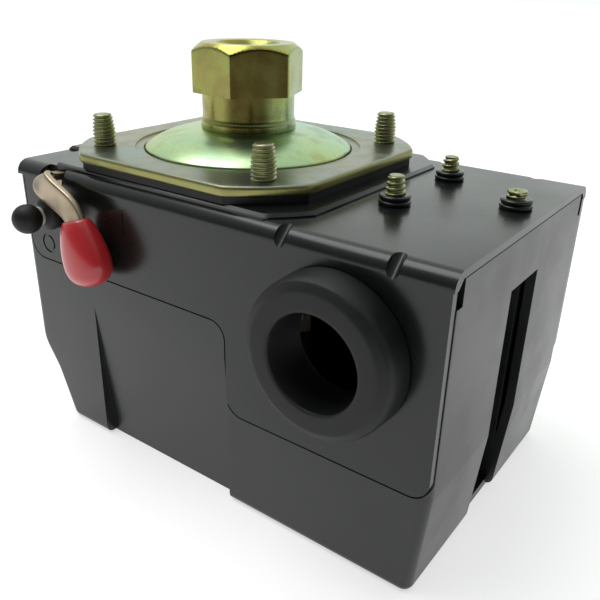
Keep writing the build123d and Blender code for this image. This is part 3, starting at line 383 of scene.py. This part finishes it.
FITTING_TINTS = (
    (0.32, (0.22, 0.40, 0.34)), (0.45, (0.30, 0.37, 0.14)),
    (0.56, (0.36, 0.33, 0.07)), (0.68, (0.34, 0.15, 0.05)),
)
# The port's faces that turn towards the dim front of the room get painted shade.
fitting_zinc = passivated("passivated port", FITTING_TINTS, (0.29, 0.34, 0.11), 60.0, 0.24,
                          painted_shade=((0.64, -0.77, 0.0), (0.055, 0.036, 0.008)))
HEX_HALF = 11.0 * MM
HEX_TURN = math.radians(52.7)
HEX_UNDER = 82.1 * MM
HEX_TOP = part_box("port_fitting")[1].z
NECK_R = 10.4 * MM
BORE_R = 5.75 * MM
BORE_DEEP = 13.2 * MM
PIPE_PITCH = 1.41 * MM
PIPE_THREAD_DEEP = 0.45 * MM
CROWN_TOP_R = 10.2 * MM
CROWN_SPREAD = 1.38
CROWN_EASE = 0.22 * MM


def hexagon(angle, half, softness):
    """Distance from the centre to a hexagon's edge, with its corners rounded by a smooth minimum."""
    turn = (angle - HEX_TURN) % (np.pi / 3) - np.pi / 6
    nearer = half / np.cos(turn)
    other = half / np.cos(np.pi / 3 - np.abs(turn))
    return 0.5 * (nearer + other - np.sqrt((nearer - other) ** 2 + softness ** 2))


def crown_limit(height):
    """Radius that the turned crown leaves at a height: a cone down from the edge of the top face."""
    return CROWN_TOP_R + (HEX_TOP - height) * CROWN_SPREAD


angle = np.linspace(0, 2 * np.pi, 2 * ROUND_STEPS, endpoint=False)
ring = np.stack([np.cos(angle), np.sin(angle), 0 * angle], -1)
flats = hexagon(angle, HEX_HALF, 0.25 * MM)
rows = []
for height in np.linspace(HEX_UNDER, HEX_TOP, 46):
    cone = crown_limit(height)
    radius = 0.5 * (flats + cone - np.sqrt((flats - cone) ** 2 + CROWN_EASE ** 2))
    rows.append(ring * radius[:, None] + (0, 0, height))
hexagon_side = np.stack(rows)
mouth = rounded([
    (9.6 * MM, HEX_TOP), (BORE_R + 1.3 * MM, HEX_TOP), (BORE_R + 0.4 * MM, HEX_TOP - 1.1 * MM),
], 0.3 * MM)
mouth_rows = [ring * radius + (0, 0, height) for radius, height in mouth]
thread_height = np.linspace(HEX_TOP - 1.15 * MM, HEX_TOP - BORE_DEEP, 106)
thread_rows = []
for height in thread_height:
    phase = ((height / PIPE_PITCH - angle / (2 * np.pi)) % 1.0) * 2 - 1
    radius = BORE_R - 0.05 * MM + PIPE_THREAD_DEEP * np.abs(phase)
    thread_rows.append(ring * radius[:, None] + (0, 0, height))
drill_z = HEX_TOP - BORE_DEEP - 1.5 * MM
drill_rows = [ring * 3.0 * MM + (0, 0, drill_z + 0.1 * MM), ring * 0 + (0, 0, drill_z)]
NECK_FOOT = DOME_HIGH
shank = rounded([(0, NECK_FOOT - 1.4 * MM), (DOME_HOLE - 0.1 * MM, NECK_FOOT - 1.4 * MM),
                 (DOME_HOLE - 0.1 * MM, NECK_FOOT - 0.1 * MM), (NECK_R + 0.4 * MM, NECK_FOOT - 0.1 * MM),
                 (NECK_R + 0.4 * MM, NECK_FOOT + 1.6 * MM), (NECK_R + 0.05 * MM, NECK_FOOT + 2.2 * MM),
                 (NECK_R, NECK_FOOT + 2.9 * MM), (NECK_R, HEX_UNDER)], 0.35 * MM)
shank_rows = [ring * radius + (0, 0, height) for radius, height in shank]
port = surfaced([np.stack([*shank_rows, *hexagon_side, *mouth_rows, *thread_rows, *drill_rows])], angle=28)
lift(port, "port", fitting_zinc.material, "base", "port_fitting")

rubber = Finish("black moulded rubber", Specular_IOR_Level=0.3)
bloom = rubber.noise(90.0, detail=4.0, roughness=0.6).between(0.35, 0.75)
pores = rubber.noise(1800.0, detail=2.0)
rubber.set(
    Base_Color=rubber.mix(bloom, (0.006, 0.007, 0.007), (0.014, 0.015, 0.014)),
    Roughness=0.42 + bloom * 0.14 + pores * 0.08,
)
rubber.bump(pores, 0.02 * MM, 0.5)
lift(fair_copy("diaphragm"), "diaphragm_sheet", rubber.material, "base", "diaphragm")

# ---- Screws -------------------------------------------------------------------------------------
# Rolled-thread screws come up through the sheet: four hold the flange, two the terminal block and
# one the earth clamp. Their yellow passivated ends stand out of the plate and of the drawn collars.
screw_zinc = passivated(
    "passivated thread",
    ((0.35, (0.22, 0.26, 0.10)), (0.5, (0.28, 0.30, 0.14)),
     (0.6, (0.32, 0.32, 0.22)), (0.7, (0.24, 0.17, 0.08))),
    (0.25, 0.25, 0.12), 300.0, 0.30,
)


def threaded(x, y, low, high, core, pitch, depth, taper, tip, steps=56):
    """Rod whose radius follows a helical ridge: a raised cosine of height over pitch less the turn."""
    angle = np.linspace(0, 2 * np.pi, steps, endpoint=False)
    ring = np.stack([np.cos(angle), np.sin(angle), 0 * angle], -1)
    height = np.linspace(low, high, int((high - low) / pitch * 14))
    share = np.clip((height - (high - taper)) / taper, 0, 1)
    body = core + (tip - core) * share
    phase = (height[:, None] - low) / pitch - angle[None] / (2 * np.pi)
    ridge = np.clip(0.5 + 0.75 * np.cos(2 * np.pi * phase), 0, 1)
    fade = np.clip((high - height) / (0.45 * pitch), 0.0, 1)[:, None]
    radius = body[:, None] - depth * (1 - ridge) * fade - 0.25 * MM * (1 - fade) ** 2
    rod = ring[None] * radius[..., None] + np.stack([x + 0 * height, y + 0 * height, height], -1)[:, None]
    first = np.zeros_like(rod[:1]) + (x, y, low)
    last = np.zeros_like(rod[:1]) + (x, y, high - 0.08 * MM)
    return np.concatenate([first, rod, last])


def screw_head(x, y, seat, radius, depth):
    """Pan head below its seat, with its edge rounded over."""
    profile = rounded([(0, -depth), (0.72 * radius, -depth), (radius, -0.55 * depth), (radius, 0), (0, 0)],
                      0.35 * MM)
    return turned(profile, (x, y, seat), steps=72)


STUD_AT = 22.9 * MM
STUD_R = 2.5 * MM
stud_low, stud_high = (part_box("flange_screws")[i].z for i in (0, 1))
stud_seat = stud_low + 3.2 * MM
corners = [(sx * STUD_AT, sy * STUD_AT) for sx in (-1, 1) for sy in (-1, 1)]
grids = [threaded(x, y, stud_seat - 0.2 * MM, stud_high, STUD_R, 0.8 * MM, 0.34 * MM, 3.4 * MM, 2.05 * MM)
         for x, y in corners]
heads = [screw_head(x, y, stud_seat, 4.6 * MM, 3.2 * MM) for x, y in corners]
lift(surfaced([*grids, *heads], angle=50), "flange_screw_set", screw_zinc.material, "base",
     "flange_screws")

(block_low, block_high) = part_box("block_screws")
BLOCK_AT = [(43.0 * MM, -7.4 * MM, block_high.z), (43.0 * MM, 17.2 * MM, block_high.z - 0.7 * MM)]
block_seat = block_low.z + 2.4 * MM
grids = [threaded(x, y, block_seat - 0.2 * MM, top, 2.0 * MM, 1.05 * MM, 0.42 * MM, 3.0 * MM, 1.6 * MM)
         for x, y, top in BLOCK_AT]
heads = [screw_head(x, y, block_seat, 3.0 * MM, 2.4 * MM) for x, y, top in BLOCK_AT]
lift(surfaced([*grids, *heads], angle=50), "block_screw_pair", screw_zinc.material, "base",
     "block_screws")

(earth_low, earth_high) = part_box("earth_screw")
EARTH_AT = (62.4 * MM, 5.5 * MM)
earth_seat = earth_low.z + 2.6 * MM
angle = np.linspace(0, 2 * np.pi, 96, endpoint=False)
ring = np.stack([np.cos(angle), np.sin(angle), 0 * angle], -1)
lobes = 1 + 0.07 * np.cos(6 * angle)
# The burr-ringed end of the screw: (share of its radius, drop from the top in millimetres)
EARTH_END = ((0.0, 0.45), (0.28, 0.42), (0.42, 0.05), (0.85, 0.0), (0.97, 0.12), (1.0, 0.4), (0.93, 0.7))
EARTH_END_R = 1.95 * MM
end_rows = [ring * (share * EARTH_END_R * lobes)[:, None] + (*EARTH_AT, earth_high.z - drop * MM)
            for share, drop in EARTH_END]
shaft = threaded(*EARTH_AT, earth_seat - 0.2 * MM, earth_high.z - 0.7 * MM, 2.0 * MM, 0.9 * MM, 0.35 * MM,
                 0.3 * MM, 1.9 * MM)
lift(surfaced([np.stack(end_rows), shaft, screw_head(*EARTH_AT, earth_seat, 3.2 * MM, 2.6 * MM)], angle=50),
     "earth_screw_turned", screw_zinc.material, "base", "earth_screw")

# The punch leaves a doubled lip round each drawn collar, thick with paint
DECK_TOP = 66.0 * MM
lip = rounded([(2.05, 0.1), (2.9, -0.05), (3.2, 0.25), (3.15, 0.75), (2.8, 0.95), (3.05, 1.2), (3.12, 1.65),
               (2.85, 1.95), (2.35, 2.02), (2.05, 1.8)], 0.18, closed=True) * MM
lips = [turned(lip, (x, y, DECK_TOP), steps=96) for x, y in [(a, b) for a, b, top in BLOCK_AT] + [EARTH_AT]]
collars = surfaced(lips, closed=True, angle=60)
lift(collars, "collar_lips", black_paint.material, "base", None)

# ---- Cable entries ------------------------------------------------------------------------------
# Thick rubber grommets snapped into the side panels: a groove grips the sheet's edge, the outer
# flange is bevelled and the hole takes the cable.
# (radius, height) in millimetres, from the hole out over the face and round the groove to the inner lip
grommet_profile = rounded([
    (9.2, 1.4), (9.2, -8.5), (9.7, -8.8), (13.1, -8.75), (14.7, -7.8), (15.05, -6.6), (15.3, -2.0),
    (14.9, -1.52), (12.5, -1.5), (12.5, 0.0), (14.4, 0.02), (14.4, 1.3), (13.6, 2.0), (9.8, 2.0),
], 0.45, closed=True, steps=6) * MM
PANEL_IN = 32.2 * MM
ENTRY_X, ENTRY_Z = 47.3 * MM, 46.5 * MM
for side, axis, name in ((-1, "Y", "front"), (1, "-Y", "rear")):
    seat = (ENTRY_X, side * PANEL_IN, ENTRY_Z)
    entry = surfaced([turned(grommet_profile, seat, axis)], closed=True, angle=60)
    lift(entry, f"cable_entry_{name}", rubber.material, "base", f"cable_grommet_{name}")

# ---- Lever --------------------------------------------------------------------------------------
# A cranked strip of bright zinc-plated steel comes out through a slot in the bend, turns down along
# the panel and ends in a red dip of soft vinyl. A riveted cam inside works the contacts.
steel = Finish("bright zinc-plated steel", Metallic=1.0)
grain = steel.noise(700.0, detail=4.0, roughness=0.6)
stain = steel.noise(140.0, detail=3.0).between(0.40, 0.72)
steel.set(
    Base_Color=steel.mix(stain, (0.42, 0.34, 0.25), (0.32, 0.26, 0.18)),
    Roughness=0.30 + stain * 0.14 + grain * 0.08,
)
steel.bump(grain, 0.02 * MM, 0.5)

LEVER_X, LEVER_Z = -29.3 * MM, 62.9 * MM
STRIP_T = 1.8 * MM
# Each row: a point of the strip's middle line, its width there, and the way its width lies
STRIP = np.array([
    (-28.6, -31.5, 64.2, 4.6, 1.0, 0, 0.10),
    (-28.6, -35.2, 64.6, 5.6, 1.0, 0, 0.15),
    (-27.5, -37.2, 64.0, 6.2, 0.8, 0, 0.60),
    (-24.5, -37.9, 62.9, 6.4, 0.55, 0, 0.84),
    (-21.3, -37.9, 61.6, 6.2, 0.55, 0, 0.84),
    (-17.6, -38.0, 60.1, 6.0, 0.75, 0, 0.60),
    (-15.7, -38.2, 57.7, 6.0, 0.9, 0, 0.35),
    (-13.9, -38.4, 54.5, 6.0, 1.0, 0, 0.30),
])


def smooth_path(points, count):
    """Curve through the middles of a chain's links, each corner a parabola between them."""
    points = np.asarray(points, float)
    middles = 0.5 * (points[:-1] + points[1:])
    t = np.linspace(0, 1, count, endpoint=False)[:, None]
    parts = []
    for i in range(1, len(points) - 1):
        start = points[0] if i == 1 else middles[i - 1]
        end = points[-1] if i == len(points) - 2 else middles[i]
        parts.append((1 - t) ** 2 * start + 2 * t * (1 - t) * points[i] + t ** 2 * end)
    return np.vstack([*parts, points[-1:]])


def superellipse(width, thick, power, count=48):
    """Outline between an ellipse and a box: the sine and cosine are raised to 2 / power."""
    angle = np.linspace(0, 2 * np.pi, count, endpoint=False)
    x, y = np.cos(angle), np.sin(angle)
    return np.stack([np.sign(x) * np.abs(x) ** (2 / power) * width / 2,
                     np.sign(y) * np.abs(y) ** (2 / power) * thick / 2], -1)


path = smooth_path(STRIP, 12)
middle = path[:, :3] * MM
tangent = np.gradient(middle, axis=0)
tangent /= np.linalg.norm(tangent, axis=1)[:, None]
wide = path[:, 4:] - (path[:, 4:] * tangent).sum(1)[:, None] * tangent
wide /= np.linalg.norm(wide, axis=1)[:, None]
thin = np.cross(tangent, wide)
section = superellipse(1.0, STRIP_T, 5.0)
strip = (middle[:, None] + section[None, :, 0, None] * (path[:, 3] * MM)[:, None, None] * wide[:, None]
         + section[None, :, 1, None] * thin[:, None])
caps = [np.repeat(strip[i].mean(0)[None, None], len(section), 1) for i in (0, -1)]
SHAFT_R, SHAFT_LONG, SHAFT_FROM_Y = 1.5 * MM, 12.0 * MM, -20.0 * MM
shaft = turned([(0, 0), (SHAFT_R, 0), (SHAFT_R, SHAFT_LONG), (0, SHAFT_LONG)],
               (LEVER_X, SHAFT_FROM_Y, LEVER_Z), "-Y", 48)
lift(surfaced([np.concatenate([caps[0], strip, caps[1]]), shaft], angle=50), "lever_strip", steel.material,
     "lever", "lever")

vinyl = Finish("red dipped vinyl", Specular_IOR_Level=0.5, Coat_Weight=0.35, Coat_Roughness=0.08,
               Subsurface_Weight=0.12, Subsurface_Radius=(0.004, 0.0008, 0.0006), Subsurface_Scale=0.6)
sag = vinyl.noise(160.0, detail=2.0)
vinyl.set(
    Base_Color=vinyl.mix(sag, (0.44, 0.014, 0.020), (0.54, 0.030, 0.036)),
    Roughness=0.24 + sag * 0.10,
)
vinyl.bump(sag, 0.05 * MM, 0.5)
DIP_TOP = np.array([-15.68, -38.3, 57.99]) * MM
DIP_END = np.array([-11.44, -38.4, 44.01]) * MM
# Half width and half thickness at shares of the length: an egg, heavier towards its lower end
DIP_SHARES = (0.0, 0.03, 0.12, 0.25, 0.4, 0.55, 0.7, 0.82, 0.91, 0.97, 1.0)
DIP_WIDE = (3.3, 3.7, 4.3, 5.0, 5.65, 6.1, 6.2, 5.6, 4.3, 2.6, 0.0)
DIP_THICK = (2.3, 2.7, 3.2, 3.7, 4.05, 4.2, 4.2, 3.9, 3.1, 1.9, 0.0)
length = np.linalg.norm(DIP_END - DIP_TOP)
down = (DIP_END - DIP_TOP) / length
sideways = np.array([-down[2], 0, down[0]])
sideways /= np.linalg.norm(sideways)
turn = np.linspace(0, np.pi / 2, 60)
share = np.sin(turn)
halves = [np.interp(share, DIP_SHARES, sizes) for sizes in (DIP_WIDE, DIP_THICK)]
rings = np.stack([share, *halves], -1)
soft = np.array([0.25, 0.5, 0.25])
for column in (1, 2):
    for _ in range(6):
        rings[1:-1, column] = np.convolve(rings[:, column], soft, "valid")
outline = superellipse(2.0, 2.0, 2.15, 64)
dip = (DIP_TOP + (rings[:, 0] * length)[:, None, None] * down
       + (rings[:, 1, None] * MM * outline[None, :, 0])[..., None] * sideways
       + (rings[:, 2, None] * MM * outline[None, :, 1])[..., None] * np.array([0, 1, 0]))
mouth_cap = np.repeat(DIP_TOP[None, None], len(outline), 1)
lift(surfaced([np.concatenate([mouth_cap, dip])], angle=60), "lever_dip", vinyl.material, "lever",
     "lever_tip")

# ---- Unloader outlet ----------------------------------------------------------------------------
# The blow-off nipple beside the lever takes a thin air line. It is closed for carriage by a soft
# rubber cap with a ball end, pushed on over its barb.
(cap_low, cap_high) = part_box("outlet_cap")
OUTLET_X, OUTLET_Z = 0.5 * (cap_low.x + cap_high.x), 0.5 * (cap_low.z + cap_high.z)
ball = np.linspace(math.radians(-58), math.radians(90), 30)
ball_r = 3.3 * MM
ball_profile = np.stack([ball_r * np.cos(ball), 6.5 * MM + ball_r * np.sin(ball)], -1)
ball_profile[-1, 0] = 0
stem = rounded([(0, 0.25), (3.75, 0.25), (3.8, 1.2), (3.45, 2.2), (2.3, 2.9), (2.0, 3.5)], 0.4) * MM
PANEL_OUT = -33.7 * MM
cap_profile = np.vstack([stem, ball_profile])
cap = surfaced([turned(cap_profile, (OUTLET_X, PANEL_OUT, OUTLET_Z), "-Y", 96)], angle=60)
lift(cap, "outlet_cap_moulded", rubber.material, "base", "outlet_cap")

# ---- Mechanism ----------------------------------------------------------------------------------
# What works inside: pressed and plated levers, coil springs on studs, a moulded carrier with silver
# bridges, and a moulded block with brass terminals. It shows through the window and the entries.


def plain(name, metallic, dark, light, roughness, scale=400.0):
    """An even finish that wanders a little between two tones, with a fine grain in its gloss."""
    finish = Finish(name, Metallic=metallic)
    wander = finish.noise(scale, detail=3.0)
    fine = finish.noise(2200.0, detail=2.0)
    finish.set(Base_Color=finish.mix(wander, dark, light), Roughness=roughness + fine * 0.12)
    finish.bump(fine, 0.012 * MM, 0.4)
    return finish.material


INNER = {
    "brass": plain("pressed brass", 1.0, (0.58, 0.42, 0.17), (0.74, 0.58, 0.28), 0.25),
    "silver": plain("silver contacts", 1.0, (0.70, 0.69, 0.66), (0.84, 0.83, 0.80), 0.22),
    "white_nylon": plain("natural nylon", 0.0, (0.62, 0.60, 0.53), (0.72, 0.70, 0.63), 0.40),
    "valve_body": plain("acetal", 0.0, (0.50, 0.48, 0.42), (0.60, 0.58, 0.52), 0.38),
    "terminal_moulding": plain(
        "phenolic moulding", 0.0, (0.030, 0.026, 0.022), (0.050, 0.043, 0.036), 0.42,
    ),
    "spring_steel": plain("oiled spring steel", 1.0, (0.22, 0.22, 0.23), (0.36, 0.36, 0.37), 0.28),
    "zinc_screw": screw_zinc.material,
    "bright_steel": steel.material,
}
for row in frame["record"]["subparts"]:
    if row["material_slot"] in INNER:
        shown = frame["nodes"][row["node"]]
        shown.data.materials.clear()
        shown.data.materials.append(INNER[row["material_slot"]])

# ---- Cover --------------------------------------------------------------------------------------
# A deep moulded box that the base drops into, in satin black thermoplastic. Grip hollows narrow its
# sides towards the face it stands on, and a slot for the wiring runs down one end.
cover_plastic = Finish("satin black moulding", Specular_IOR_Level=0.5)
haze = cover_plastic.noise(60.0, detail=4.0, roughness=0.6).between(0.35, 0.70)
spark = cover_plastic.noise(1900.0, detail=2.0)
scuff = cover_plastic.noise(420.0, detail=5.0, roughness=0.7).between(0.66, 0.74)
cover_plastic.set(
    Base_Color=cover_plastic.mix(haze * 0.6 + scuff * 0.4, (0.010, 0.012, 0.011), (0.020, 0.023, 0.021)),
    Roughness=0.30 + haze * 0.08 + scuff * 0.12,
)
cover_plastic.bump(spark, 0.015 * MM, 0.45)
cover = lift(
    fair_copy("cover"), "cover_moulding", cover_plastic.material, "cover", "cover",
)
broken_edges(cover, 0.25 * MM)

# ---- Floor, light and camera --------------------------------------------------------------------
# A plain pale floor that glows a little of itself, a tent of soft light that is bright behind the
# switch and dim in front of it, one softbox overhead, and the camera.
floor_mesh = bpy.data.meshes.new("floor")
FLOOR_HALF = 6.0
floor_corners = [(x * FLOOR_HALF, y * FLOOR_HALF, 0) for x, y in ((-1, -1), (1, -1), (1, 1), (-1, 1))]
floor_mesh.from_pydata(floor_corners, [], [(0, 1, 2, 3)])
floor = bpy.data.objects.new("floor", floor_mesh)
bpy.context.scene.collection.objects.link(floor)
pale = Finish("pale floor", Roughness=0.9, Specular_IOR_Level=0.1, Emission_Color=(1.0, 1.0, 1.0),
              Emission_Strength=0.6)
pale.set(Base_Color=pale.mix(pale.noise(3.0), (0.62, 0.62, 0.62), (0.66, 0.66, 0.66)))
floor_mesh.materials.append(pale.material)

world = bpy.data.worlds.new("light tent")
bpy.context.scene.world = world
world.use_nodes = True
tree = world.node_tree
tree.nodes.clear()
direction = tree.nodes.new("ShaderNodeTexCoord")
# The tent is brightest low down behind the switch, two thirds as bright overhead and dim in front
toward_light = tree.nodes.new("ShaderNodeVectorMath")
toward_light.operation = "DOT_PRODUCT"
toward_light.inputs[1].default_value = (-0.45, 0.70, 0.55)
tree.links.new(direction.outputs["Generated"], toward_light.inputs[0])
span = tree.nodes.new("ShaderNodeMapRange")
span.inputs["From Min"].default_value = -1.0
tree.links.new(toward_light.outputs["Value"], span.inputs["Value"])
ramp = tree.nodes.new("ShaderNodeValToRGB")
tree.links.new(span.outputs[0], ramp.inputs["Fac"])
TENT = ((0.0, 0.03), (0.25, 0.06), (0.45, 0.20), (0.62, 0.45), (0.78, 0.64), (0.95, 1.0))
while len(ramp.color_ramp.elements) < len(TENT):
    ramp.color_ramp.elements.new(1.0)
for element, (position, level) in zip(ramp.color_ramp.elements, TENT):
    element.position = position
    element.color = (0.95 * level, level, 0.965 * level, 1.0)
background = tree.nodes.new("ShaderNodeBackground")
tree.links.new(ramp.outputs["Color"], background.inputs["Color"])
background.inputs["Strength"].default_value = 1.15
tree.links.new(background.outputs[0], tree.nodes.new("ShaderNodeOutputWorld").inputs["Surface"])


def softbox(name, place, aim, size, watts):
    """A square area light at a place, turned towards a point."""
    data = bpy.data.lights.new(name, "AREA")
    data.shape = "SQUARE"
    data.size = size
    data.energy = watts
    lamp = bpy.data.objects.new(name, data)
    bpy.context.scene.collection.objects.link(lamp)
    lamp.location = place
    toward = np.array(aim, float) - np.array(place, float)
    tilt = math.acos(-toward[2] / np.linalg.norm(toward))
    lamp.rotation_euler = (tilt, 0, math.atan2(toward[1], toward[0]) - math.pi / 2)
    return lamp


softbox("overhead box", (-0.25, -0.10, 0.75), (0.0, 0.0, 0.03), 0.45, 2.5)

LENS = 41.73
CAMERA_AT = np.array([104.76, -124.09, 104.69]) * MM
CAMERA_AIM = np.array([35.27, -27.31, 50.28]) * MM
CAMERA_ROLL = 0.024
forward = CAMERA_AIM - CAMERA_AT
forward /= np.linalg.norm(forward)
right = np.cross(forward, (0, 0, 1.0))
right /= np.linalg.norm(right)
upward = np.cross(right, forward)
turned_right = math.cos(CAMERA_ROLL) * right + math.sin(CAMERA_ROLL) * upward
turned_up = -math.sin(CAMERA_ROLL) * right + math.cos(CAMERA_ROLL) * upward
camera_data = bpy.data.cameras.new("camera")
camera_data.lens = LENS
camera_data.sensor_width = 36.0
camera_data.clip_start = 0.005
camera = bpy.data.objects.new("camera", camera_data)
bpy.context.scene.collection.objects.link(camera)
matrix = np.eye(4)
matrix[:3, 0], matrix[:3, 1], matrix[:3, 2], matrix[:3, 3] = turned_right, turned_up, -forward, CAMERA_AT
camera.matrix_world = Matrix(matrix.tolist())
bpy.context.scene.camera = camera
bpy.context.scene.view_settings.view_transform = "Standard"
